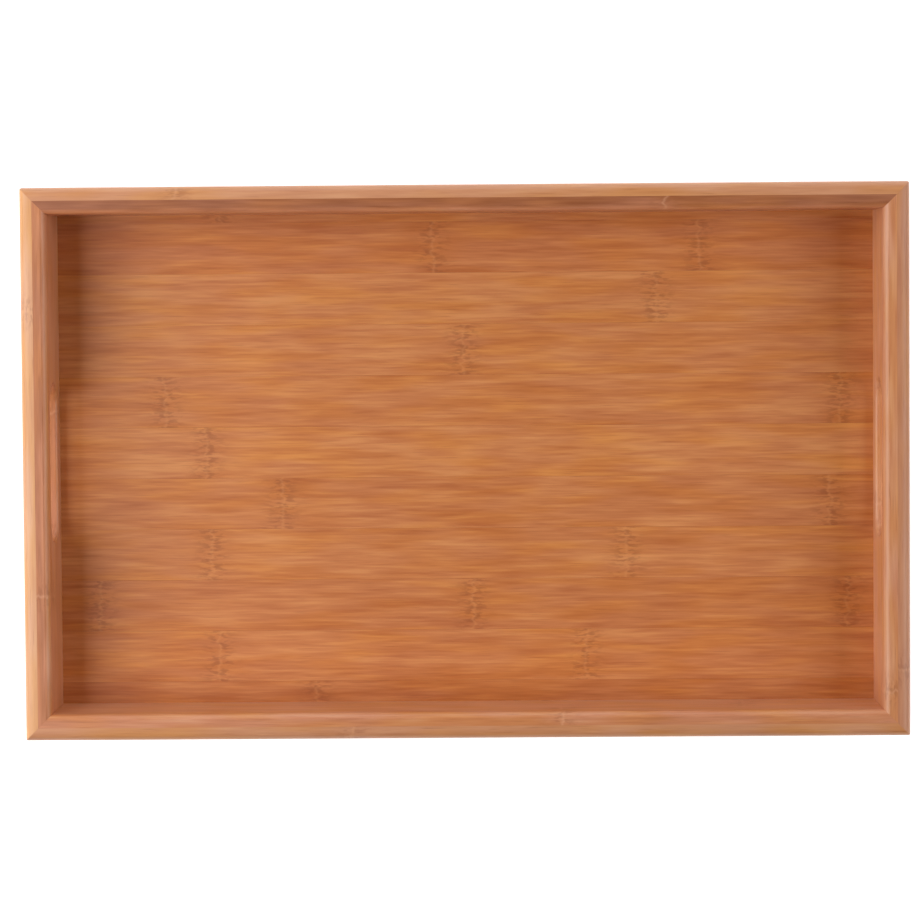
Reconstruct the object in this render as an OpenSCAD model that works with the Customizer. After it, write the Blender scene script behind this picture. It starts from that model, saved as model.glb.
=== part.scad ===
// Rectangular bamboo serving tray: four mitred rails, each glued from two plies,
// round a base board of edge-glued strips that is housed in a groove.
// Origin: middle of the underside. +X along the length, +Y to the back, +Z up.

/* [Tray] */
// Outside length, over the end rails
tray_l = 400; // [300:5:500]
// Outside width, over the front and back rails
tray_w = 250; // [200:5:350]
// Height of the rails
rail_h = 45; // [42:1:60]

/* [Rails] */
// Thickness of each of the two plies that a rail is glued from
ply_t = 6; // [5.5:0.5:8]
// Radius on the outer top edge
outer_r = 4; // [1:0.5:5]
// Radius on the upright outer corners
corner_r = 1.5; // [0.5:0.5:3]
// Radius on the inner top edge
inner_r = 3; // [1:0.5:4]
// Radius on the bottom edges
foot_r = 1; // [0.5:0.25:1.5]

/* [Hand slots] */
// Length of a hand slot, over its round ends
slot_l = 72; // [60:1:100]
// Height of a hand slot
slot_h = 21; // [18:0.5:22]
// Depth of wood left above a hand slot
slot_cover = 8.5; // [7:0.5:10]
// Radius round the mouth of a hand slot, inside and outside
slot_edge_r = 1.5; // [0.5:0.25:2]

/* [Base board] */
// Height of the board's underside above the table
board_z = 4; // [3.5:0.5:5]
// Thickness of the board
board_t = 5; // [4:0.5:5]
// Depth of the groove that the board sits in
groove_d = 4; // [2.5:0.25:4.5]
// Room left at the bottom of the groove, for the board to swell into
swell_gap = 0.5; // [0.2:0.1:1]
// Width of one strip of the board
strip_w = 23.6; // [18:0.1:30]
// Width of the first strip, at the front, cut down to fit
first_strip_w = 13.3; // [6:0.1:18]

/* [Corner splines] */
// Thickness of the spline glued across each mitre
spline_t = 2.5; // [2:0.5:3]
// Width of the spline, across the mitre
spline_w = 10; // [6:0.5:10]
// Depth of wood left above the spline
spline_cover = 9; // [6:0.5:12]

/* [Hidden] */
$fn = 64;
// Overlap that carries a cutter past the face it cuts
eps = 1;
// Clearance that keeps a spline just inside the underside
spline_inset = 0.2;

rail_t = 2 * ply_t;
board_l = tray_l - 2 * (rail_t - groove_d + swell_gap);
board_w = tray_w - 2 * (rail_t - groove_d + swell_gap);
strip_count = 1 + ceil((board_w - first_strip_w) / strip_w);
slot_z = rail_h - slot_cover - slot_h / 2;
spline_h = rail_h - spline_cover - spline_inset;

// Angle that turns a rail from the front to its own side of the tray
FRONT = 0;
RIGHT = 90;
BACK = 180;
LEFT = 270;

// Place of a ply in the rail's thickness, counted from the outer face
OUTER = 0;
INNER = 1;

CORNERS = ["front_left", "front_right", "back_right", "back_left"];

function strip_name(i) = str("base_strip_", i < 9 ? "0" : "", i + 1);
function spline_name(i) = str("mitre_spline_", CORNERS[i]);
function is_end_rail(side) = side == LEFT || side == RIGHT;
function rail_l(side) = is_end_rail(side) ? tray_w : tray_l;
function rail_offset(side) = (is_end_rail(side) ? tray_l : tray_w) / 2;
// Front edge of strip i, measured from the board's front edge
function strip_start(i) = i == 0 ? 0 : first_strip_w + (i - 1) * strip_w;

STRIPS = [for (i = [0 : strip_count - 1]) strip_name(i)];
SPLINES = [for (i = [0 : 3]) spline_name(i)];

OUTER_COLOUR = "#D6A078";
INNER_COLOUR = "#C08A62";
STRIP_COLOURS = ["#C27A48", "#B9713F", "#CB8450"];
SPLINE_COLOUR = "#B58054";

// Waste left of a quarter round of radius r, along X, at the corner (y, z) = (0, 0)
// of the quarter y > 0, z < 0
module edge_waste(l, r) {
    difference() {
        translate([-eps, -eps, -r])
            cube([l + 2 * eps, r + eps, r + eps]);
        translate([-2 * eps, r, -r])
            rotate([0, 90, 0])
                cylinder(h = l + 4 * eps, r = r);
    }
}

// Waste left of a quarter round of radius r, upright, at the corner (x, y) = (0, 0)
module upright_waste(h, r) {
    difference() {
        translate([-eps, -eps, -eps])
            cube([r + eps, r + eps, h + 2 * eps]);
        translate([r, r, -2 * eps])
            cylinder(h = h + 4 * eps, r = r);
    }
}

// Mitred ply with its outer end at the origin, running along +X, square edged
module ply_blank(l, ply) {
    near = ply * ply_t;
    far = near + ply_t;
    linear_extrude(rail_h)
        polygon([[near, near], [l - near, near], [l - far, far], [far, far]]);
}

// The four edges of a whole rail, rounded
module rail_edge_waste(l) {
    translate([0, 0, rail_h])
        edge_waste(l, outer_r);
    translate([0, rail_t, rail_h])
        mirror([0, 1, 0])
            edge_waste(l, inner_r);
    mirror([0, 0, 1])
        edge_waste(l, foot_r);
    translate([0, rail_t, 0])
        mirror([0, 1, 0])
            mirror([0, 0, 1])
                edge_waste(l, foot_r);
    upright_waste(rail_h, corner_r);
    translate([l, 0, 0])
        mirror([1, 0, 0])
            upright_waste(rail_h, corner_r);
}

// Groove for the base board, along the inner face of a rail
module board_groove(l) {
    translate([-eps, rail_t - groove_d, board_z])
        cube([l + 2 * eps, groove_d + eps, board_t]);
}

// Section of a hand slot's mouth: the slot's half height, flared by the quarter
// round at the face y = 0, drawn from the slot's axis outwards
module mouth_section(half_h) {
    difference() {
        translate([0, -eps])
            square([half_h + slot_edge_r, slot_edge_r + eps]);
        translate([half_h + slot_edge_r, slot_edge_r])
            circle(r = slot_edge_r);
    }
}

// Mouth of a hand slot at the face y = 0, opening towards -Y
module slot_mouth() {
    half_h = slot_h / 2;
    straight = slot_l - slot_h;
    for (x = [-straight / 2, straight / 2])
        translate([x, 0, 0])
            rotate([-90, 0, 0])
                rotate_extrude()
                    mouth_section(half_h);
    for (turn = [-90, 90])
        rotate([0, turn, 0])
            linear_extrude(straight, center = true)
                mouth_section(half_h);
}

// Hand slot through both plies, at the middle of an end rail
module hand_slot(l) {
    straight = slot_l - slot_h;
    translate([l / 2, 0, slot_z]) {
        for (x = [-straight / 2, straight / 2])
            translate([x, -eps, 0])
                rotate([-90, 0, 0])
                    cylinder(h = rail_t + 2 * eps, d = slot_h);
        translate([-straight / 2, -eps, -slot_h / 2])
            cube([straight, rail_t + 2 * eps, slot_h]);
        slot_mouth();
        translate([0, rail_t, 0])
            mirror([0, 1, 0])
                slot_mouth();
    }
}

// Spline of one corner, standing across the mitre at (rail_t / 2, rail_t / 2)
module spline_block(clear_below) {
    translate([rail_t / 2, rail_t / 2, spline_inset - clear_below])
        rotate([0, 0, -45])
            translate([-spline_w / 2, -spline_t / 2, 0])
                cube([spline_w, spline_t, spline_h + clear_below]);
}

// Slots for the splines at both ends of a rail
module spline_slots(l) {
    spline_block(eps);
    translate([l, 0, 0])
        mirror([1, 0, 0])
            spline_block(eps);
}

// Puts a rail drawn along +X, outer face at y = 0, at its side of the tray
module at_side(side) {
    rotate([0, 0, side])
        translate([-rail_l(side) / 2, -rail_offset(side), 0])
            children();
}

// One ply of one rail, in its place
module rail_ply(side, ply) {
    l = rail_l(side);
    color(ply == OUTER ? OUTER_COLOUR : INNER_COLOUR)
        at_side(side)
            difference() {
                ply_blank(l, ply);
                rail_edge_waste(l);
                spline_slots(l);
                if (ply == INNER)
                    board_groove(l);
                if (is_end_rail(side))
                    hand_slot(l);
            }
}

// Strip i of the base board, counted from the front; the last one is cut to fit
module base_strip(i) {
    start = strip_start(i);
    finish = min(strip_start(i + 1), board_w);
    color(STRIP_COLOURS[i % len(STRIP_COLOURS)])
        translate([-board_l / 2, start - board_w / 2, board_z])
            cube([board_l, finish - start, board_t]);
}

// Spline of corner i, in the order of CORNERS
module mitre_spline(i) {
    along_x = i == 1 || i == 2 ? 1 : 0;
    along_y = i >= 2 ? 1 : 0;
    color(SPLINE_COLOUR)
        mirror([along_x, 0, 0])
            mirror([0, along_y, 0])
                translate([-tray_l / 2, -tray_w / 2, 0])
                    spline_block(0);
}

rail_ply(FRONT, OUTER);  // front_rail_outer_ply
rail_ply(FRONT, INNER);  // front_rail_inner_ply
rail_ply(BACK, OUTER);  // back_rail_outer_ply
rail_ply(BACK, INNER);  // back_rail_inner_ply
rail_ply(LEFT, OUTER);  // left_rail_outer_ply
rail_ply(LEFT, INNER);  // left_rail_inner_ply
rail_ply(RIGHT, OUTER);  // right_rail_outer_ply
rail_ply(RIGHT, INNER);  // right_rail_inner_ply
for (i = [0 : strip_count - 1])
    base_strip(i);
for (i = [0 : 3])
    mitre_spline(i);
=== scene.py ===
"""Blender scene of a bamboo serving tray: mitred rails of two plies round a board of glued strips.

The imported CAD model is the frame. Each visible piece is modelled over its CAD node, at that
node's place and size, and rides on the tray's one body. Lengths are in metres.
"""

import logging
import math
from collections.abc import Callable, Iterable, Iterator
from contextlib import contextmanager
from dataclasses import dataclass, field
from enum import Enum

import bmesh
import bpy
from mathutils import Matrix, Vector


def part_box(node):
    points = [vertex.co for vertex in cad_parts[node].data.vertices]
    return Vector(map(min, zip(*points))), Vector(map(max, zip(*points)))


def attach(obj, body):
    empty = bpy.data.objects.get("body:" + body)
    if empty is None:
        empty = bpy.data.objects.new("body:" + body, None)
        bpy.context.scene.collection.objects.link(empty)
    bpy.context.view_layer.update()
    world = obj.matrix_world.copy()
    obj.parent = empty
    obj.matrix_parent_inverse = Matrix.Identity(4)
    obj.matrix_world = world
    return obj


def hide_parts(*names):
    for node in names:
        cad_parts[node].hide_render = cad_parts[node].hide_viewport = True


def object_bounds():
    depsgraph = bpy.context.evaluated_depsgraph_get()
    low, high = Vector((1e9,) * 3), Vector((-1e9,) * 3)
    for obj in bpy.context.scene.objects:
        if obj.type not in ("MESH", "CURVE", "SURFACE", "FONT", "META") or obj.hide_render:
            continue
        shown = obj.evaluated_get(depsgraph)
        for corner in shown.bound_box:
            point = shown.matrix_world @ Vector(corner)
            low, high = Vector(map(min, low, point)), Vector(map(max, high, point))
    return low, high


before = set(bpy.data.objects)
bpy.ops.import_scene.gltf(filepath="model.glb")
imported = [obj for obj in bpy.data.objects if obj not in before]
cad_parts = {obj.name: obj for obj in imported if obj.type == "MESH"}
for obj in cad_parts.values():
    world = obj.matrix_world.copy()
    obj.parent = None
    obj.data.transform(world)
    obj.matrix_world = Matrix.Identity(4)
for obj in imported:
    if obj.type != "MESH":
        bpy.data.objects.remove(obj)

CAD_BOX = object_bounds()
BODY = "root"
MM = 0.001
TOUCH = 0.01 * MM
FAR_AWAY = 9.0
STRIP_WIDTH = 23.6 * MM
WHOLE = (0.0, 1.0)

log = logging.getLogger("serving_tray")


class Axis(Enum):
    """An axis of the tray's frame, as its place in a vector."""

    X = 0
    Y = 1
    Z = 2


class Turn(Enum):
    """Which way a rounded end turns: out into the face round it, or over the prism's own edge."""

    FLARED = 1
    ROUNDED_OVER = -1


@dataclass(frozen=True)
class RoundedEnd:
    """The rounded end of a prism, whose section is a rectangle grown evenly all round.

    The core is that rectangle, as half its length and width, and the wall is how far it grew.
    A prism that cuts runs over past the face it cuts, and one that stays ends at its face.
    """

    axis: Axis
    face: float
    inward: int
    radius: float
    turn: Turn
    middle: Vector
    core: Vector
    wall: float
    over: float = 0.0
    steps: int = 8

    def rings(self) -> list[tuple[float, float]]:
        """Works out the rings of points that draw the quarter round.

        Returns:
            Each ring's level along the axis, and how far the section grows there.
        """
        rings = []
        for step in range(self.steps + 1):
            angle = math.radians(90) * step / self.steps
            depth = self.radius * (1 - math.sin(angle))
            growth = self.turn.value * self.radius * (1 - math.cos(angle))
            rings.append((self.face + self.inward * depth, growth))
        if self.over:
            rings.append((self.face - self.inward * self.over, rings[-1][1]))
        return rings

    def quarter_centre(self, signs: tuple[int, int], level: float) -> Vector:
        """Finds the corner of the core that a quarter of the section grows from.

        Args:
            signs: The quarter's side of the middle, -1 or 1, on each axis of the section.
            level: The place along the prism's axis.

        Returns:
            The corner.
        """
        centre = self.middle.copy()
        for sign, place in zip(signs, self._section_axes()):
            centre[place] += sign * self.core[place]
        centre[self.axis.value] = level
        return centre

    def is_in_quarter(self, point: Vector, signs: tuple[int, int]) -> bool:
        """Tells whether a point is in a quarter of the section.

        Args:
            point: The point.
            signs: The quarter's side of the middle, -1 or 1, on each axis of the section.

        Returns:
            True if it is.
        """
        return all(
            (point[place] > self.middle[place]) == (sign > 0)
            for sign, place in zip(signs, self._section_axes())
        )

    def _section_axes(self) -> list[int]:
        """The two axes that the section lies in, as places in a vector."""
        return [a.value for a in Axis if a is not self.axis]


# ---------------------------------------------------------------- mesh tools


def select_only(piece: bpy.types.Object) -> None:
    """Deselects everything, then selects one piece and makes it active.

    Args:
        piece: The object to work on.
    """
    bpy.ops.object.select_all(action="DESELECT")
    piece.select_set(True)
    bpy.context.view_layer.objects.active = piece


@contextmanager
def editing(piece: bpy.types.Object, element: str) -> Iterator[None]:
    """Opens a piece in edit mode with nothing selected, and closes it again.

    Args:
        piece: The object to shape.
        element: The select mode, VERT, EDGE or FACE.

    Yields:
        Nothing, while the piece is open.
    """
    select_only(piece)
    bpy.ops.object.mode_set(mode="EDIT")
    bpy.ops.mesh.select_mode(type=element)
    bpy.ops.mesh.select_all(action="DESELECT")
    yield
    bpy.ops.object.mode_set(mode="OBJECT")


def pick_edges(piece: bpy.types.Object, test: Callable[[Vector, Vector], bool]) -> None:
    """Selects the edges of a piece in edit mode that pass a test.

    Args:
        piece: The object in edit mode.
        test: Takes an edge's two ends, and says whether to select it.
    """
    mesh = bmesh.from_edit_mesh(piece.data)
    for edge in mesh.edges:
        edge.select_set(test(edge.verts[0].co, edge.verts[1].co))
    mesh.select_flush_mode()
    bmesh.update_edit_mesh(piece.data)


def pick_points(piece: bpy.types.Object, test: Callable[[Vector], bool]) -> None:
    """Selects the points of a piece in edit mode that pass a test.

    Args:
        piece: The object in edit mode, in VERT select mode.
        test: Takes a point, and says whether to select it.
    """
    mesh = bmesh.from_edit_mesh(piece.data)
    for point in mesh.verts:
        point.select_set(test(point.co))
    mesh.select_flush_mode()
    bmesh.update_edit_mesh(piece.data)


def add_block(name: str, low: Vector, high: Vector, turn: float = 0.0) -> bpy.types.Object:
    """Adds a cube primitive at its size and place, with its transforms applied.

    Args:
        name: The new object's name.
        low: The lowest corner, before the block is turned.
        high: The highest corner, before the block is turned.
        turn: Angle about the upright axis through its middle, in radians.

    Returns:
        The new object, its own origin at the world's.
    """
    bpy.ops.object.select_all(action="DESELECT")
    bpy.ops.mesh.primitive_cube_add(
        size=1, location=(low + high) / 2, rotation=(0, 0, turn), scale=high - low
    )
    block = bpy.context.active_object
    block.name = name
    block.data.name = name
    bpy.ops.object.transform_apply(location=True, rotation=True, scale=True)
    return block


def cut_away(piece: bpy.types.Object, cutter: bpy.types.Object, keep: str = "DIFFERENCE") -> None:
    """Cuts a piece with another shape, and removes that shape.

    Args:
        piece: The object that is cut.
        cutter: The object that cuts it.
        keep: DIFFERENCE drops what is inside the cutter, and INTERSECT keeps only that.
    """
    select_only(piece)
    bpy.ops.object.modifier_add(type="BOOLEAN")
    boolean = piece.modifiers[-1]
    boolean.operation = keep
    boolean.solver = "EXACT"
    boolean.object = cutter
    bpy.ops.object.modifier_apply(modifier=boolean.name)
    bpy.data.objects.remove(cutter, do_unlink=True)


def round_end(prism: bpy.types.Object, end: RoundedEnd) -> None:
    """Rounds the end of a prism: over its own edge, or out into a flare.

    Args:
        prism: A prism of even section.
        end: The rounded end.
    """
    axis = end.axis.value
    ahead = Vector((0, 0, 0))
    ahead[axis] = 1
    rings = end.rings()
    for level, _ in rings[: end.steps + bool(end.over)]:
        with editing(prism, "VERT"):
            bpy.ops.mesh.select_all(action="SELECT")
            bpy.ops.mesh.bisect(plane_co=ahead * level, plane_no=ahead)
    for level, growth in rings:
        scale = Vector((1, 1, 1)) * (end.wall + growth) / end.wall
        scale[axis] = 1
        for signs in ((-1, -1), (-1, 1), (1, -1), (1, 1)):
            with editing(prism, "VERT"):
                pick_points(
                    prism,
                    lambda p: abs(p[axis] - level) < TOUCH / 2 and end.is_in_quarter(p, signs),
                )
                centre = end.quarter_centre(signs, level)
                bpy.ops.transform.resize(value=scale, center_override=centre)


def saw(piece: bpy.types.Object, point: Vector, waste: Vector) -> None:
    """Saws a piece on a plane, drops the waste side and closes the cut.

    Args:
        piece: The object that is sawn.
        point: A point on the plane of the saw.
        waste: The plane's normal, towards the side that is dropped.
    """
    with editing(piece, "FACE"):
        bpy.ops.mesh.select_all(action="SELECT")
        bpy.ops.mesh.bisect(
            plane_co=point, plane_no=waste, use_fill=True, clear_outer=True, threshold=TOUCH / 10
        )


def copy_piece(piece: bpy.types.Object, name: str) -> bpy.types.Object:
    """Copies a piece with a mesh of its own.

    Args:
        piece: The object to copy.
        name: The copy's name.

    Returns:
        The copy, linked to the scene.
    """
    select_only(piece)
    bpy.ops.object.duplicate(linked=False)
    twin = bpy.context.active_object
    twin.name = name
    twin.data.name = name
    return twin


def sand(piece: bpy.types.Object, crease: float = math.radians(28)) -> None:
    """Merges a piece's doubles and shades it: flats flat, rounds smooth, arrises crisp.

    Args:
        piece: The finished shape.
        crease: Edges sharper than this angle stay crisp, in radians.
    """
    with editing(piece, "VERT"):
        bpy.ops.mesh.select_all(action="SELECT")
        bpy.ops.mesh.remove_doubles(threshold=1.5 * TOUCH)
        bpy.ops.mesh.normals_make_consistent(inside=False)
    bpy.ops.object.shade_smooth_by_angle(angle=crease)
    bpy.ops.object.modifier_add(type="WEIGHTED_NORMAL")
    weighted = piece.modifiers[-1]
    weighted.keep_sharp = True
    weighted.weight = 100
    bpy.ops.object.modifier_apply(modifier=weighted.name)


# ---------------------------------------------------------------- finishes


def linear(hex_code: str) -> tuple[float, float, float, float]:
    """Turns an sRGB hex colour into the linear colour that shaders take.

    Args:
        hex_code: Six hex digits after a hash sign.

    Returns:
        Red, green, blue and alpha.
    """
    parts = (int(hex_code[i : i + 2], 16) / 255 for i in (1, 3, 5))
    return (*(p / 12.92 if p <= 0.04045 else ((p + 0.055) / 1.055) ** 2.4 for p in parts), 1.0)


def add_node(
    tree: bpy.types.NodeTree,
    kind: str,
    settings: dict[str | int, object] | None = None,
    links: dict[str | int, bpy.types.NodeSocket | bpy.types.Node] | None = None,
) -> bpy.types.Node:
    """Adds a shader node with its settings and links.

    Args:
        tree: The material's node tree.
        kind: The node's type, without the words that every type starts with.
        settings: Values by input place or name, or by property name.
        links: What feeds an input, by the input's place or name: a socket, or a node whose
            first output is used.

    Returns:
        The new node.
    """
    node = tree.nodes.new("ShaderNode" + kind)
    for key, value in (settings or {}).items():
        if isinstance(key, int) or key in node.inputs:
            node.inputs[key].default_value = value
        else:
            setattr(node, key, value)
    for key, source in (links or {}).items():
        is_node = isinstance(source, bpy.types.Node)
        tree.links.new(source.outputs[0] if is_node else source, node.inputs[key])
    return node


def remap(
    tree: bpy.types.NodeTree,
    value: bpy.types.Node,
    source: tuple[float, float],
    target: tuple[float, float],
) -> bpy.types.Node:
    """Maps a value from one span to another, and holds it at the ends.

    Args:
        tree: The material's node tree.
        value: The value.
        source: The span that it comes from.
        target: Where that span's two ends go.

    Returns:
        The new value.
    """
    limits = {"From Min": source[0], "From Max": source[1], "To Min": target[0], "To Max": target[1]}
    return add_node(tree, "MapRange", limits, {"Value": value})


@dataclass(frozen=True)
class Patch:
    """The size of one patch of a figure: its length along the fibres, and its width across."""

    along: float
    across: float

    def noise(
        self, tree: bpy.types.NodeTree, place: bpy.types.Node, detail: float = 1.0
    ) -> bpy.types.Node:
        """Draws noise in patches of this size.

        Args:
            tree: The material's node tree.
            place: The place in the piece's own grain, in metres.
            detail: How many finer layers the noise has.

        Returns:
            The noise, about 0.5 on average.
        """
        per_metre = (1 / self.along, 1 / self.across, 1 / self.across)
        stretched = add_node(tree, "VectorMath", {"operation": "MULTIPLY", 1: per_metre}, {0: place})
        return add_node(tree, "TexNoise", {"Scale": 1.0, "Detail": detail}, {"Vector": stretched})


def bell(tree: bpy.types.NodeTree, distance: bpy.types.Node, reach: float) -> bpy.types.Node:
    """Draws a bell curve: 1 at no distance, and about a third at its reach.

    Args:
        tree: The material's node tree.
        distance: The distance, in metres.
        reach: Where the curve has fallen to about a third, in metres.

    Returns:
        The curve's value.
    """
    scaled = add_node(tree, "Math", {"operation": "DIVIDE", 1: reach}, {0: distance})
    square = add_node(tree, "Math", {"operation": "MULTIPLY"}, {0: scaled, 1: scaled})
    fall = add_node(tree, "Math", {"operation": "MULTIPLY", 1: -1.0}, {0: square})
    return add_node(tree, "Math", {"operation": "EXPONENT"}, {0: fall})


@dataclass(frozen=True)
class Bamboo:
    """Carbonised bamboo, flat pressed: steamed to caramel, sliced into strips and edge glued.

    The eye sees fine straight fibres in soft bands, a few dark pores, a rosy or a golden
    cast, and hardly a line where strips meet. At a knuckle, where the culm had a joint, the
    fibres sway and short dark dashes stand on either side of a wandering pale ridge. The
    fibres are drawn about 1 mm wide, coarser than real bamboo's bundles of some 0.5 mm.
    """

    name: str
    dark: str
    middle: str
    light: str
    knuckle: str = "#823E18"
    golden: str = "#FFF8D2"
    contrast: float = 1.0
    roughness: float = 0.5
    lacquer: float = 0.28
    lacquer_roughness: float = 0.3
    roughness_swing: float = 0.08
    strip_width: float = STRIP_WIDTH
    row_shift: float = 3.7
    relief: float = 0.04 * MM
    fibre: Patch = Patch(18 * MM, 1.1 * MM)
    band: Patch = Patch(33 * MM, 2.6 * MM)
    cloud: Patch = Patch(36 * MM, 8 * MM)
    cast: Patch = Patch(40 * MM, 7 * MM)
    cast_span: tuple[float, float] = (0.4, 0.65)
    fibre_weight: float = 1.15
    band_weight: float = 1.0
    cloud_weight: float = 0.75
    pore: Patch = Patch(14 * MM, 0.45 * MM)
    pore_span: tuple[float, float] = (0.62, 0.75)
    pore_strength: float = 0.25
    glue_width: float = 0.15 * MM
    glue_strength: float = 0.08
    glue_height: float = -0.3
    knuckle_step: float = 83 * MM
    wander: Patch = Patch(400 * MM, 3.0 * MM)
    wander_reach: float = 3.4 * MM
    sway: Patch = Patch(9 * MM, 4 * MM)
    sway_reach: float = 2.0 * MM
    sway_length: float = 10 * MM
    dash: Patch = Patch(4.4 * MM, 1.25 * MM)
    dash_span: tuple[float, float] = (0.47, 0.58)
    dash_veil: float = 0.02
    dash_strength: float = 0.24
    dash_contrast: float = 0.2
    dash_length: float = 6.5 * MM
    ridge_width: float = 0.7 * MM
    ridge_strength: float = 0.3
    ridge_height: float = 0.4

    def material(self) -> bpy.types.Material:
        """Builds the material.

        Returns:
            The material, which reads the attributes that Stock.lay writes on its piece.
        """
        made = bpy.data.materials.new(self.name)
        made.use_nodes = True
        tree = made.node_tree
        tree.nodes.clear()
        grain, knuckles, strip, joints = (
            add_node(tree, "Attribute", {"attribute_name": name}).outputs["Vector"]
            for name in ("grain", "knuckles", "strip", "joints")
        )
        facts = add_node(tree, "SeparateXYZ", {}, {0: strip}).outputs
        row, edge = self._rows(tree, grain)
        shift = {"operation": "MULTIPLY_ADD", 1: self.row_shift}
        seed = add_node(tree, "Math", shift, {0: row, 2: facts[1]})
        seed = add_node(tree, "CombineXYZ", {}, {0: seed})
        place = add_node(tree, "VectorMath", {"operation": "ADD"}, {0: grain, 1: seed})
        distance = self._knuckle_distance(tree, place, grain, row, knuckles)
        seam = self._glue_lines(tree, edge, joints)
        tone = self._strip_tone(tree, row, facts)
        colour, height, rough = self._figure(tree, place, tone, distance, seam)
        bump = add_node(tree, "Bump", {"Strength": 1.0, "Distance": self.relief}, {"Height": height})
        shader = add_node(
            tree,
            "BsdfPrincipled",
            {
                "IOR": 1.5,
                "Coat Weight": self.lacquer,
                "Coat Roughness": self.lacquer_roughness,
                "Coat IOR": 1.5,
            },
            {"Base Color": colour, "Roughness": rough, "Normal": bump},
        )
        add_node(tree, "OutputMaterial", {}, {"Surface": shader})
        return made

    def _rows(
        self, tree: bpy.types.NodeTree, grain: bpy.types.NodeSocket
    ) -> tuple[bpy.types.Node, bpy.types.Node]:
        """Tells apart the strips that a piece is glued from.

        Args:
            tree: The material's node tree.
            grain: The place in the grain.

        Returns:
            The strip's row, 0 where the grain's width axis is 0, and the distance to its edge.
        """
        across = add_node(tree, "SeparateXYZ", {}, {0: grain}).outputs[1]
        count = {"operation": "MULTIPLY_ADD", 1: 1 / self.strip_width, 2: 0.5}
        count = add_node(tree, "Math", count, {0: across})
        row = add_node(tree, "Math", {"operation": "FLOOR"}, {0: count})
        edge = add_node(tree, "Math", {"operation": "PINGPONG", 1: 0.5}, {0: count})
        return row, add_node(tree, "Math", {"operation": "MULTIPLY", 1: self.strip_width}, {0: edge})

    def _knuckle_distance(
        self,
        tree: bpy.types.NodeTree,
        place: bpy.types.Node,
        grain: bpy.types.NodeSocket,
        row: bpy.types.Node,
        knuckles: bpy.types.NodeSocket,
    ) -> bpy.types.Node:
        """Measures how far along the fibres the nearest knuckle is, with a wandering ridge.

        Args:
            tree: The material's node tree.
            place: The place in the grain, with the strip's seed.
            grain: The place in the grain.
            row: The strip's row; the next strip's knuckles fall further along.
            knuckles: Where up to three knuckles fall in row 0.

        Returns:
            The distance, in metres.
        """
        noise = self.wander.noise(tree, place, 2.0)
        wander = remap(tree, noise, WHOLE, (-self.wander_reach, self.wander_reach))
        along = add_node(tree, "SeparateXYZ", {}, {0: grain})
        along = add_node(tree, "Math", {"operation": "ADD"}, {0: along, 1: wander})
        step = {"operation": "MULTIPLY_ADD", 1: self.knuckle_step}
        along = add_node(tree, "Math", step, {0: row, 2: along})
        nearest = None
        for mark in add_node(tree, "SeparateXYZ", {}, {0: knuckles}).outputs:
            gap = add_node(tree, "Math", {"operation": "SUBTRACT"}, {0: along, 1: mark})
            size = add_node(tree, "Math", {"operation": "ABSOLUTE"}, {0: gap})
            if nearest is None:
                nearest = size
                continue
            nearest = add_node(tree, "Math", {"operation": "MINIMUM"}, {0: nearest, 1: size})
        return nearest

    def _sway(
        self, tree: bpy.types.NodeTree, place: bpy.types.Node, distance: bpy.types.Node
    ) -> bpy.types.Node:
        """Bends the fibres aside near a knuckle.

        Args:
            tree: The material's node tree.
            place: The place in the grain, with the strip's seed.
            distance: The distance to the nearest knuckle.

        Returns:
            The place in the bent grain.
        """
        noise = self.sway.noise(tree, place)
        sway = remap(tree, noise, WHOLE, (-self.sway_reach, self.sway_reach))
        near = bell(tree, distance, self.sway_length)
        sway = add_node(tree, "Math", {"operation": "MULTIPLY"}, {0: sway, 1: near})
        aside = add_node(tree, "CombineXYZ", {}, {1: sway})
        return add_node(tree, "VectorMath", {"operation": "ADD"}, {0: place, 1: aside})

    def _glue_lines(
        self, tree: bpy.types.NodeTree, edge: bpy.types.Node, joints: bpy.types.NodeSocket
    ) -> bpy.types.Node:
        """Finds the hairlines of glue, between strips and where the surface meets a glued face.

        Args:
            tree: The material's node tree.
            edge: The distance to the strip's edge.
            joints: How deep the surface lies behind up to three glued faces.

        Returns:
            1 on a glue line, and 0 from its width away.
        """
        nearest = edge
        for depth in add_node(tree, "SeparateXYZ", {}, {0: joints}).outputs:
            nearest = add_node(tree, "Math", {"operation": "MINIMUM"}, {0: nearest, 1: depth})
        return remap(tree, nearest, (0.0, self.glue_width), (1.0, 0.0))

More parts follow.
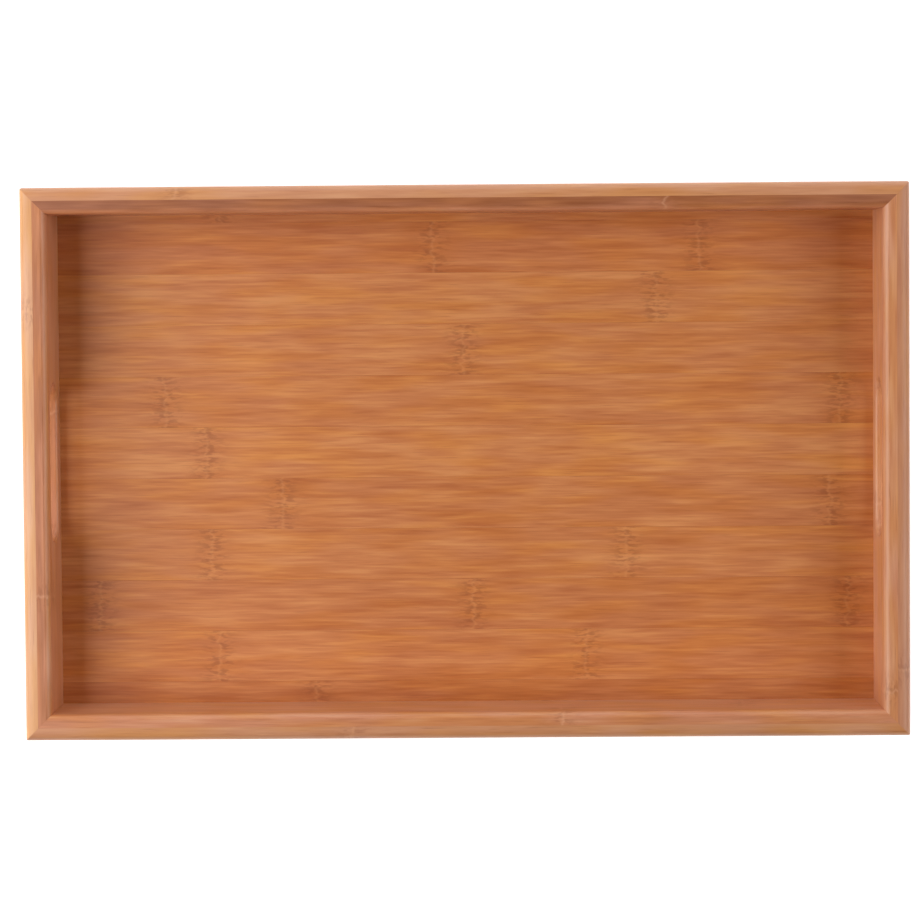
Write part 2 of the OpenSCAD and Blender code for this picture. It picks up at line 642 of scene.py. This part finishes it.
    def _figure(
        self,
        tree: bpy.types.NodeTree,
        place: bpy.types.Node,
        tone: bpy.types.Node,
        distance: bpy.types.Node,
        seam: bpy.types.Node,
    ) -> tuple[bpy.types.Node | bpy.types.NodeSocket, bpy.types.Node, bpy.types.Node]:
        """Draws the fibres, pores, knuckles and glue lines.

        Args:
            tree: The material's node tree.
            place: The place in the grain, with the strip's seed.
            tone: The strip's tone.
            distance: The distance to the nearest knuckle.
            seam: Where the glue lines are.

        Returns:
            The colour, the height for the bump, and the roughness.
        """
        swayed = self._sway(tree, place, distance)
        fibre = self.fibre.noise(tree, swayed, 2.5)
        value = tone
        layers = (
            (fibre, self.fibre_weight),
            (self.band.noise(tree, swayed), self.band_weight),
            (self.cloud.noise(tree, swayed), self.cloud_weight),
        )
        for noise, weight in layers:
            strength = weight * self.contrast
            value = add_node(
                tree, "Math", {"operation": "MULTIPLY_ADD", 1: strength}, {0: noise, 2: value}
            )
            value = add_node(tree, "Math", {"operation": "SUBTRACT", 1: strength / 2}, {0: value})
        ramp = add_node(tree, "ValToRGB", {}, {0: value})
        stops = ramp.color_ramp.elements
        stops[0].position = 0.0
        stops[0].color = linear(self.dark)
        stops[1].position = 1.0
        stops[1].color = linear(self.light)
        stops.new(0.5).color = linear(self.middle)
        cast = remap(tree, self.cast.noise(tree, place), self.cast_span, WHOLE)
        colour = add_node(
            tree,
            "Mix",
            {"data_type": "RGBA", "blend_type": "MULTIPLY", 7: linear(self.golden)},
            {0: cast, 6: ramp},
        ).outputs[2]

        pore = remap(tree, self.pore.noise(tree, place), self.pore_span, (0.0, self.pore_strength))
        strongest = self.dash_strength + self.dash_contrast * self.contrast
        noise = self.dash.noise(tree, place, 2.0)
        dash = remap(tree, noise, self.dash_span, (self.dash_veil, strongest))
        near = bell(tree, distance, self.dash_length)
        dash = add_node(tree, "Math", {"operation": "MULTIPLY"}, {0: dash, 1: near})
        glue = add_node(tree, "Math", {"operation": "MULTIPLY", 1: self.glue_strength}, {0: seam})
        ridge = bell(tree, distance, self.ridge_width)
        pale = add_node(tree, "Math", {"operation": "MULTIPLY", 1: self.ridge_strength}, {0: ridge})
        marks = ((pore, self.knuckle), (dash, self.knuckle), (glue, self.knuckle), (pale, self.light))
        for mark, tint in marks:
            colour = add_node(
                tree, "Mix", {"data_type": "RGBA", 7: linear(tint)}, {0: mark, 6: colour}
            ).outputs[2]

        # Sanded fibres, with open pores and a knuckle that stands a hair proud
        height = add_node(tree, "Math", {"operation": "SUBTRACT"}, {0: fibre, 1: pore})
        for mark, rise in ((seam, self.glue_height), (ridge, self.ridge_height)):
            height = add_node(
                tree, "Math", {"operation": "MULTIPLY_ADD", 1: rise}, {0: mark, 2: height}
            )
        swing = (self.roughness - self.roughness_swing, self.roughness + self.roughness_swing)
        return colour, height, remap(tree, fibre, WHOLE, swing)

    def _strip_tone(
        self,
        tree: bpy.types.NodeTree,
        row: bpy.types.Node,
        facts: bpy.types.bpy_prop_collection,
    ) -> bpy.types.Node:
        """Gives each strip of a piece a tone of its own.

        Args:
            tree: The material's node tree.
            row: The strip's row; the tone of row 0 is the piece's own.
            facts: The piece's tone, its seed, and how much the tone jumps between strips.

        Returns:
            The tone.
        """
        number = add_node(tree, "Math", {"operation": "ADD"}, {0: row, 1: facts[1]})
        jump = add_node(tree, "TexWhiteNoise", {"noise_dimensions": "1D"}, {"W": number})
        jump = add_node(tree, "Math", {"operation": "SUBTRACT", 1: 0.5}, {0: jump})
        jump = add_node(tree, "Math", {"operation": "MULTIPLY"}, {0: jump, 1: row})
        return add_node(tree, "Math", {"operation": "MULTIPLY_ADD"}, {0: jump, 1: facts[2], 2: facts[0]})


# The board's strips: a warm orange caramel, with every fibre and knuckle plain to see
BOARD_BAMBOO = Bamboo("carbonised bamboo, base board", "#B26433", "#C37742", "#D38B50")
# The outer plies: paler and quieter, nearer to straw; the paleness is partly the ply's own and partly a
# painted sheen from the lacquer on their rounded tops
OUTER_BAMBOO = Bamboo("carbonised bamboo, paler outer ply", "#B67551", "#C88A62", "#D9A074", contrast=0.5)
# The inner plies: browner along their edge, and quiet; their wide face, the wall into the tray, turns pale
# and rosy only through painted light
INNER_BAMBOO = Bamboo("carbonised bamboo, darker inner ply", "#8C4D29", "#C47E58", "#E2A982", contrast=0.35)
# The splines: bare and dull, as they are glued in and never lacquered
SPLINE_BAMBOO = Bamboo(
    "carbonised bamboo, bare spline", "#9A6A42", "#B58357", "#C89A6E", roughness=0.75, lacquer=0.0
)


# ---------------------------------------------------------------- bamboo stock


def pad_to_three(lengths: Iterable[float]) -> tuple[float, ...]:
    """Fills up to three lengths with ones that are too far away to matter."""
    return (*lengths, *[FAR_AWAY] * 3)[:3]


@dataclass(frozen=True)
class GluedFace:
    """A face of a piece that is glued to its neighbour: a point on it, and the way into the piece."""

    point: Vector
    inward: Vector

    def depth(self, place: Vector) -> float:
        """How deep inside the piece a place is, measured from this face."""
        return (place - self.point).dot(self.inward)


# Depths behind the glue, in a ply, where the round to its wide face starts and ends: the painted light on
# that face fades in over this span
FACE_ROUND = (3.5 * MM, 6 * MM)


@dataclass(frozen=True)
class Stock:
    """How a piece was cut from the bamboo: its tone, its figure and where its knuckles fall.

    Tones run from 0, dark, to 1, light; on the rails they also hold painted light and shade, set
    side by side as the light falls. The last field is painted light: how much paler the wide
    face of an inner ply, the wall into the tray, is painted than its edge. tone_jump is how
    much the tone differs from strip to strip.
    """

    seed: float
    tone: float = 0.5
    knuckles: tuple[float, ...] = ()
    tone_jump: float = 0.0
    wall_painted_light: float = 0.0

    def lay(
        self,
        piece: bpy.types.Object,
        along: Axis,
        across: Axis,
        strip_middle: float,
        glued: tuple[GluedFace, ...] = (),
    ) -> None:
        """Writes the grain, strip, knuckles and joints attributes that the finishes read.

        Args:
            piece: The finished shape.
            along: The axis that the fibres follow.
            across: The axis over the strips' wide faces.
            strip_middle: Where the middle of a strip falls on that axis, in metres.
            glued: Up to three faces that are glued to a neighbour.
        """
        depth = next(a for a in Axis if a not in (along, across))
        marks = pad_to_three(self.knuckles)
        mesh = piece.data
        names = ("grain", "strip", "knuckles", "joints")
        for name in names:
            mesh.attributes.new(name, "FLOAT_VECTOR", "POINT")
        grain, strip, knuckles, joints = (mesh.attributes[name].data for name in names)
        for i, point in enumerate(mesh.vertices):
            place = point.co
            middle = place[across.value] - strip_middle
            grain[i].vector = (place[along.value], middle, place[depth.value])
            strip[i].vector = (self._tone_at(place, glued), self.seed, self.tone_jump)
            knuckles[i].vector = marks
            joints[i].vector = pad_to_three(face.depth(place) for face in glued)

    def _tone_at(self, place: Vector, glued: tuple[GluedFace, ...]) -> float:
        """Tone at a point: that of the edge, turning paler over the round to the wide face, which is
        painted light.

        Args:
            place: The point.
            glued: The piece's glued faces, the one opposite its wide face first.

        Returns:
            The tone.
        """
        if not self.wall_painted_light:
            return self.tone
        turned = (glued[0].depth(place) - FACE_ROUND[0]) / (FACE_ROUND[1] - FACE_ROUND[0])
        return self.tone + self.wall_painted_light * min(max(turned, 0.0), 1.0)


def hand_over(piece: bpy.types.Object, node: str, finish: bpy.types.Material) -> None:
    """Dresses a piece, and puts it in its CAD node's place on the tray's body.

    Args:
        piece: The finished shape.
        node: The CAD node that it stands for.
        finish: The material.
    """
    piece.data.materials.clear()
    piece.data.materials.append(finish)
    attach(piece, BODY)
    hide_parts(node)
    log.info("%s: %d faces", piece.name, len(piece.data.polygons))


# ---------------------------------------------------------------- the frame of rails


class Side(Enum):
    """A side of the tray, as the direction out of it."""

    FRONT = (0, -1)
    BACK = (0, 1)
    LEFT = (-1, 0)
    RIGHT = (1, 0)

    @property
    def out(self) -> Vector:
        """The direction out of the tray on this side."""
        return Vector((*self.value, 0))

    @property
    def is_end(self) -> bool:
        """Whether the rail is an end rail, with a hand slot."""
        return self.value[0] != 0


@dataclass
class RailFrame:
    """Four mitred rails, each glued from two plies, with a hand slot through each end rail."""

    outer_round: float = 4 * MM
    inner_round: float = 3 * MM
    corner_round: float = 1.5 * MM
    foot_round: float = 1 * MM
    slot_length: float = 72 * MM
    slot_height: float = 21 * MM
    slot_cover: float = 8.5 * MM
    mouth_round: float = 1.5 * MM
    groove_depth: float = 4 * MM
    spline_thickness: float = 2.5 * MM
    spline_width: float = 10 * MM
    round_steps: int = 8
    top_strip_cut: float = 9 * MM
    low: Vector = field(default_factory=lambda: Vector(CAD_BOX[0]))
    high: Vector = field(default_factory=lambda: Vector(CAD_BOX[1]))

    def __post_init__(self) -> None:
        """Reads the rails' thickness and their glue plane from the frame."""
        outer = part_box("front_rail_outer_ply")
        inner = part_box("front_rail_inner_ply")
        self.ply = outer[1][1] - outer[0][1]
        self.rail = inner[1][1] - self.low.y
        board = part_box("base_strip_02")
        self.board_low = board[0][2]
        self.board_high = board[1][2]

    def build(self) -> None:
        """Models the whole ring once, and saws it into the eight plies."""
        ring = self._ring()
        cut_away(ring, self._groove_cutter())
        for side in (Side.LEFT, Side.RIGHT):
            cut_away(ring, self._slot_cutter(side))
        for corner in CORNERS:
            cut_away(ring, corner.block("spline_cutter", self, 1 * MM))
        finishes = {"outer": OUTER_BAMBOO.material(), "inner": INNER_BAMBOO.material()}
        for side in Side:
            for layer, finish in finishes.items():
                self._ply(ring, side, layer, finish)
        bpy.data.objects.remove(ring, do_unlink=True)

    def _ring(self) -> bpy.types.Object:
        """Models the four rails as one ring with rounded edges.

        Returns:
            The ring.
        """
        past = Vector((0, 0, 5 * MM))
        ring = add_block("ring", self.low, self.high)
        self._round_ends(ring, self.high, Turn.ROUNDED_OVER, self.outer_round)
        corners = add_block("upright_corners", self.low - past, self.high + past)
        with editing(corners, "EDGE"):
            pick_edges(corners, lambda a, b: abs(a.z - b.z) > past.z)
            bpy.ops.mesh.bevel(offset=self.corner_round, segments=self.round_steps, affect="EDGES")
        cut_away(ring, corners, "INTERSECT")
        inside = Vector((self.high.x - self.rail, self.high.y - self.rail, self.high.z))
        opening = add_block("opening", Vector((-inside.x, -inside.y, self.low.z)) - past, inside + past)
        self._round_ends(opening, inside, Turn.FLARED, self.inner_round, past.z)
        cut_away(ring, opening)
        return ring

    def _round_ends(
        self, prism: bpy.types.Object, corner: Vector, turn: Turn, top_round: float, over: float = 0.0
    ) -> None:
        """Rounds the top and the foot of an upright prism.

        Args:
            prism: The prism, centred on the upright axis.
            corner: Its back right corner.
            turn: Which way the ends turn.
            top_round: The radius at the top.
            over: How far the prism runs past the top and the foot.
        """
        wall = 20 * MM
        core = Vector((corner.x - wall, corner.y - wall, 0))
        for face, inward, radius in ((self.high.z, -1, top_round), (self.low.z, 1, self.foot_round)):
            round_end(
                prism,
                RoundedEnd(Axis.Z, face, inward, radius, turn, Vector((0, 0, 0)), core, wall, over),
            )

    def _groove_cutter(self) -> bpy.types.Object:
        """Models the block that ploughs the board's groove all round.

        Returns:
            The cutter.
        """
        inset = self.rail - self.groove_depth
        reach = Vector((self.high.x - inset, self.high.y - inset, 0))
        low = Vector((-reach.x, -reach.y, self.board_low))
        high = Vector((reach.x, reach.y, self.board_high))
        return add_block("groove_cutter", low, high)

    def _slot_cutter(self, side: Side) -> bpy.types.Object:
        """Models the cutter of a hand slot: round ends, and a flare at each mouth.

        Args:
            side: The end rail that it cuts.

        Returns:
            The cutter.
        """
        over = 2 * MM
        middle = self.high.z - self.slot_cover - self.slot_height / 2
        faces = sorted((side.out.x * self.high.x, side.out.x * (self.high.x - self.rail)))
        half = Vector((0, self.slot_length / 2, self.slot_height / 2))
        low = Vector((faces[0] - over, -half.y, middle - half.z))
        high = Vector((faces[1] + over, half.y, middle + half.z))
        cutter = add_block("slot_cutter", low, high)
        with editing(cutter, "EDGE"):
            pick_edges(cutter, lambda a, b: abs(a.x - b.x) > over)
            bpy.ops.mesh.bevel(
                offset=half.z - TOUCH, segments=2 * self.round_steps, affect="EDGES", clamp_overlap=False
            )
        core = Vector((0, half.y - half.z, 0))
        centre = Vector((0, 0, middle))
        for face, inward in ((faces[0], 1), (faces[1], -1)):
            round_end(
                cutter,
                RoundedEnd(
                    Axis.X, face, inward, self.mouth_round, Turn.FLARED, centre, core, half.z, over
                ),
            )
        return cutter

    def _ply(
        self, ring: bpy.types.Object, side: Side, layer: str, finish: bpy.types.Material
    ) -> None:
        """Saws one ply of one rail out of the ring, dresses it and hands it over.

        Args:
            ring: The whole ring.
            side: The side of the tray that the rail is on.
            layer: outer or inner.
            finish: The ply's material.
        """
        node = f"{side.name.lower()}_rail_{layer}_ply"
        piece = copy_piece(ring, f"bamboo_{node}")
        out = side.out
        along = Vector((abs(out.y), abs(out.x), 0))
        inward = out if layer == "outer" else -out
        glued = [GluedFace(out * (self._reach(out) - self.ply), inward)]
        for end in (-1, 1):
            corner = out * self._reach(out) + along * end * self._reach(along)
            glued.append(GluedFace(corner, (out - along * end).normalized()))
        for face in glued:
            saw(piece, face.point, -face.inward)
        sand(piece)
        stock = RAIL_STOCK[node]
        fibre = Axis.Y if side.is_end else Axis.X
        stock.lay(piece, fibre, Axis.Z, self._strip_middle(stock), tuple(glued))
        hand_over(piece, node, finish)

    def _reach(self, direction: Vector) -> float:
        """How far the tray reaches in a direction along X or Y."""
        return abs(direction.x) * self.high.x + abs(direction.y) * self.high.y

    def _strip_middle(self, stock: Stock) -> float:
        """Height of the middle of a ply's top strip, which is cut away more or less by ply."""
        return self.high.z - self.top_strip_cut * ((stock.seed * 0.37) % 1)


@dataclass(frozen=True)
class Corner:
    """A mitred corner, with the spline that stands across its mitre."""

    name: str
    x: int
    y: int

    def block(self, name: str, rails: RailFrame, below: float) -> bpy.types.Object:
        """Models the spline's block.

        Args:
            name: The new object's name.
            rails: The frame of rails.
            below: How much further down the block reaches than its CAD node.

        Returns:
            The block.
        """
        low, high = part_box(f"mitre_spline_{self.name}")
        middle = (Vector(low) + Vector(high)) / 2
        half = Vector((rails.spline_width / 2, rails.spline_thickness / 2, 0))
        return add_block(
            name,
            Vector((middle.x - half.x, middle.y - half.y, low[2] - below)),
            Vector((middle.x + half.x, middle.y + half.y, high[2])),
            math.radians(-45 * self.x * self.y),
        )


CORNERS = (
    Corner("front_left", -1, -1),
    Corner("front_right", 1, -1),
    Corner("back_right", 1, 1),
    Corner("back_left", -1, 1),
)

# Beside each ply's own tone, these tones paint light and shade by side: the left outer ply is painted pale,
# a painted highlight from the key light on the left; the right outer ply is painted dark, painted shade on
# the side turned from that light; the right inner ply is painted lighter, painted light on the wall that
# faces the key; the back inner ply is painted darker, partly its own tone and partly painted shade where
# its top catches no sheen. The last number on an inner ply paints its wall paler, as painted light.
RAIL_STOCK = {
    "front_rail_outer_ply": Stock(1.7, 0.42, (-0.052,), 0.25),
    "front_rail_inner_ply": Stock(3.4, 0.50, (0.043,), 0.25, 0.20),
    "back_rail_outer_ply": Stock(5.1, 0.50, (-0.13,), 0.25),
    "back_rail_inner_ply": Stock(6.8, 0.12, (0.090,), 0.25, 0.52),
    "left_rail_outer_ply": Stock(8.5, 0.82, (0.07,), 0.25),
    "left_rail_inner_ply": Stock(10.2, 0.38, (-0.060,), 0.25, 0.34),
    "right_rail_outer_ply": Stock(11.9, 0.20, (-0.095,), 0.25),
    "right_rail_inner_ply": Stock(13.6, 0.60, (-0.105,), 0.25, 0.12),
}


@dataclass(frozen=True)
class MitreSplines:
    """The four splines glued across the mitres; only their lower ends show, underneath."""

    end_chamfer: float = 0.2 * MM

    def build(self, rails: RailFrame) -> None:
        """Models, dresses and hands over the splines.

        Args:
            rails: The frame of rails.
        """
        finish = SPLINE_BAMBOO.material()
        for i, corner in enumerate(CORNERS):
            piece = corner.block(f"bamboo_mitre_spline_{corner.name}", rails, 0.0)
            with editing(piece, "EDGE"):
                bpy.ops.mesh.select_all(action="SELECT")
                bpy.ops.mesh.bevel(offset=self.end_chamfer, segments=2, affect="EDGES")
            sand(piece)
            Stock(20.4 + 1.7 * i).lay(piece, Axis.X, Axis.Z, 0.0)
            hand_over(piece, f"mitre_spline_{corner.name}", finish)


# ---------------------------------------------------------------- the base board


@dataclass(frozen=True)
class BaseBoard:
    """Eleven bamboo strips, edge glued and sanded level, the outer two ripped to width."""

    arris: float = 0.06 * MM
    strip_width: float = STRIP_WIDTH
    strips: tuple[Stock, ...] = (
        Stock(30.1, 0.33, (-0.070,)),
        Stock(32.2, 0.47, (-0.115, 0.055)),
        Stock(34.3, 0.37, (-0.170, 0.003, 0.176)),
        Stock(36.4, 0.51, (-0.118, 0.074)),
        Stock(38.5, 0.43, (-0.085, 0.168)),
        Stock(40.6, 0.61, (-0.120,)),
        Stock(42.7, 0.50, (-0.139, 0.173)),
        Stock(44.8, 0.56, (-0.001,)),
        Stock(46.9, 0.63, (0.088,)),
        Stock(49.0, 0.35, (-0.015, 0.108)),
        Stock(51.1, 0.45, (-0.113,)),
    )

    def build(self) -> None:
        """Models, dresses and hands over the strips, from front to back."""
        finish = BOARD_BAMBOO.material()
        for i, stock in enumerate(self.strips):
            node = f"base_strip_{i + 1:02d}"
            low, high = (Vector(corner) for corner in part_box(node))
            piece = add_block(f"bamboo_{node}", low, high)
            with editing(piece, "EDGE"):
                bpy.ops.mesh.select_all(action="SELECT")
                bpy.ops.mesh.bevel(offset=self.arris, segments=2, affect="EDGES")
            sand(piece)
            # The first strip is ripped on its front edge, so its back edge is the full strip's
            middle = high.y - self.strip_width / 2 if i == 0 else low.y + self.strip_width / 2
            glued = (GluedFace(low, Vector((0, 1, 0))), GluedFace(high, Vector((0, -1, 0))))
            stock.lay(piece, Axis.X, Axis.Y, middle, glued)
            hand_over(piece, node, finish)


# ---------------------------------------------------------------- studio


@dataclass(frozen=True)
class Softbox:
    """A rectangular studio light."""

    name: str
    place: tuple[float, float, float]
    aim: tuple[float, float, float]
    size: tuple[float, float]
    power: float
    colour: str = "#FFFFFF"

    def add(self) -> None:
        """Adds the light to the scene, out of the camera's sight."""
        data = bpy.data.lights.new(self.name, "AREA")
        data.shape = "RECTANGLE"
        data.size, data.size_y = self.size
        data.energy = self.power
        data.color = linear(self.colour)[:3]
        lamp = bpy.data.objects.new(self.name, data)
        lamp.location = self.place
        lamp.rotation_euler = (Vector(self.aim) - Vector(self.place)).to_track_quat("-Z", "Y").to_euler()
        lamp.visible_camera = False
        bpy.context.scene.collection.objects.link(lamp)


@dataclass(frozen=True)
class Studio:
    """White light table, softboxes on three sides and a long lens straight above the tray."""

    lens: float = 108.7
    camera_place: tuple[float, float, float] = (0.0106, 0.0785, 1.2974)
    camera_turn: tuple[float, float, float] = (-2.06, 0.53, -0.44)
    shift_y: float = -0.08
    floor_size: float = 12.0
    floor_drop: float = 0.1 * MM
    floor_colour: str = "#F4F4F4"
    wall_height: float = 0.9
    wall_colour: str = "#505050"
    glow: float = 0.6
    surround: float = 0.03
    lights: tuple[Softbox, ...] = (
        Softbox("key, from the left", (-0.73, 0.0, 0.68), (0, 0, 0), (1.1, 0.82), 10.9),
        Softbox("fill, from the right", (0.83, 0.0, 0.72), (0, 0, 0), (0.8, 0.7), 5.4),
        Softbox("fill, from the back", (0.0, 1.00, 0.46), (0, 0, 0), (0.8, 0.5), 3.2),
    )

    def build(self) -> None:
        """Adds the camera, the lights, the surroundings and the floor."""
        self._camera()
        for light in self.lights:
            light.add()
        self._surroundings()
        self._floor()
        settings = bpy.context.scene.view_settings
        settings.view_transform = "Standard"
        settings.look = "None"

    def _camera(self) -> None:
        """Adds the camera."""
        data = bpy.data.cameras.new("camera")
        data.lens = self.lens
        data.shift_y = self.shift_y
        data.clip_end = 50
        camera = bpy.data.objects.new("camera", data)
        camera.location = self.camera_place
        camera.rotation_euler = tuple(math.radians(a) for a in self.camera_turn)
        bpy.context.scene.collection.objects.link(camera)
        bpy.context.scene.camera = camera

    def _surroundings(self) -> None:
        """Fills the studio with even white light."""
        world = bpy.data.worlds.new("studio")
        world.use_nodes = True
        background = world.node_tree.nodes["Background"]
        background.inputs["Color"].default_value = linear("#FFFFFF")
        background.inputs["Strength"].default_value = self.surround
        bpy.context.scene.world = world

    def _floor(self) -> None:
        """Lays a plain white floor that glows a little, with a low wall round it."""
        bpy.ops.object.select_all(action="DESELECT")
        # A hair below the tray, so that no two faces lie in one plane
        bpy.ops.mesh.primitive_plane_add(size=self.floor_size, location=(0, 0, -self.floor_drop))
        self._set_stage("studio_floor", self.floor_colour)
        bpy.ops.object.select_all(action="DESELECT")
        bpy.ops.mesh.primitive_cylinder_add(
            vertices=96,
            radius=self.floor_size * 0.49,
            depth=self.wall_height,
            end_fill_type="NOTHING",
            location=(0, 0, self.wall_height / 2),
        )
        # Greyer paint, as the lights strike the wall squarely: it then matches the far floor
        self._set_stage("studio_wall", self.wall_colour)

    def _set_stage(self, name: str, colour: str) -> None:
        """Paints the piece of the studio just added, and marks it as no part of the tray.

        Args:
            name: The piece's name.
            colour: The colour of its paint, under the glow.
        """
        paint = bpy.data.materials.new(f"matt paint, {name}")
        paint.use_nodes = True
        shader = paint.node_tree.nodes["Principled BSDF"]
        shader.inputs["Base Color"].default_value = linear(colour)
        shader.inputs["Roughness"].default_value = 0.9
        shader.inputs["Emission Color"].default_value = linear("#FFFFFF")
        shader.inputs["Emission Strength"].default_value = self.glow
        piece = bpy.context.active_object
        piece.name = name
        piece.data.materials.append(paint)


def main() -> None:
    """Builds the studio and the tray."""
    logging.basicConfig(level=logging.INFO, format="%(name)s: %(message)s")
    Studio().build()
    rails = RailFrame()
    rails.build()
    MitreSplines().build(rails)
    BaseBoard().build()


if __name__ == "__main__":
    main()
